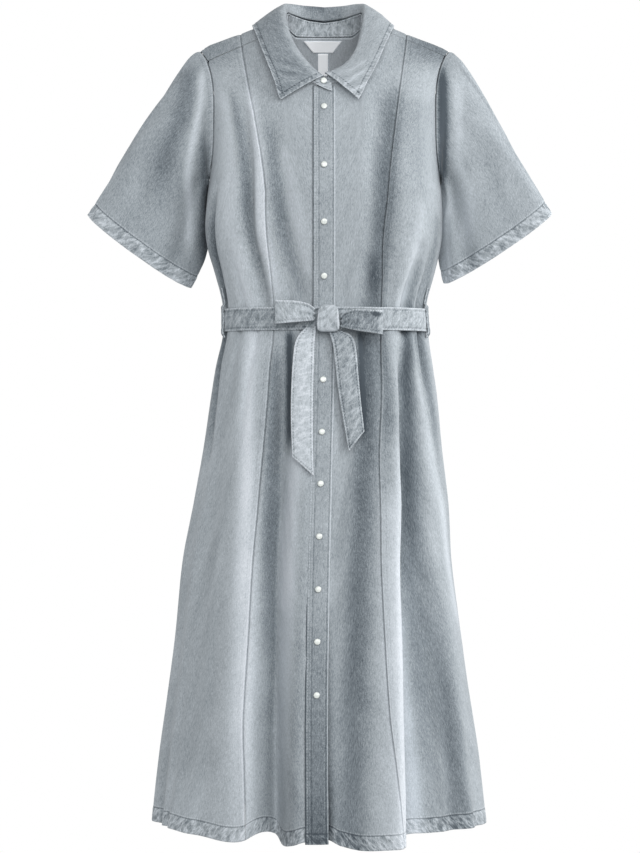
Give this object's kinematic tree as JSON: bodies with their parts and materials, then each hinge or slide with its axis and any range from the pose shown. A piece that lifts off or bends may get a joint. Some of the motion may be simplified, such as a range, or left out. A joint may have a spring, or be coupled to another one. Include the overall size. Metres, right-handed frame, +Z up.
{
  "type": "belted shirt dress",
  "caption": "Midi shirt dress in light denim with a collar, short sleeves, a snap-fastened front band, princess seams and a tie belt, filled out with no wearer.",
  "frame": {"origin": "midway between the wearer's shoulders at the height of the neck base, where the dress is held", "axes": "+Z up, the front faces -Y, +X to the viewer's right"},
  "size_m": [0.696, 0.3683, 1.2475],
  "materials": {
    "denim": "light washed denim, matt",
    "snap": "pearl",
    "label": "woven, matt"
  },
  "bodies": {
    "root": {"front_left_centre": "denim", "front_left_side": "denim", "front_right_centre": "denim", "front_right_side": "denim", "back_left_side": "denim", "back_right_side": "denim", "back_centre": "denim", "front_band": "denim", "sleeve_left": "denim", "sleeve_right": "denim", "collar_leaf": "denim", "collar_stand": "denim", "tie_belt": "denim", "bow_loop_left": "denim", "bow_loop_right": "denim", "belt_tail_left": "denim", "belt_tail_right": "denim", "belt_knot": "denim", "belt_carrier_left": "denim", "belt_carrier_right": "denim", "neck_label": "label", "size_label": "label", "snap_01": "snap", "snap_02": "snap", "snap_03": "snap", "snap_04": "snap", "snap_05": "snap", "snap_06": "snap", "snap_07": "snap", "snap_08": "snap", "snap_09": "snap", "snap_10": "snap", "snap_11": "snap", "snap_stand": "snap"}
  },
  "joints": []
}
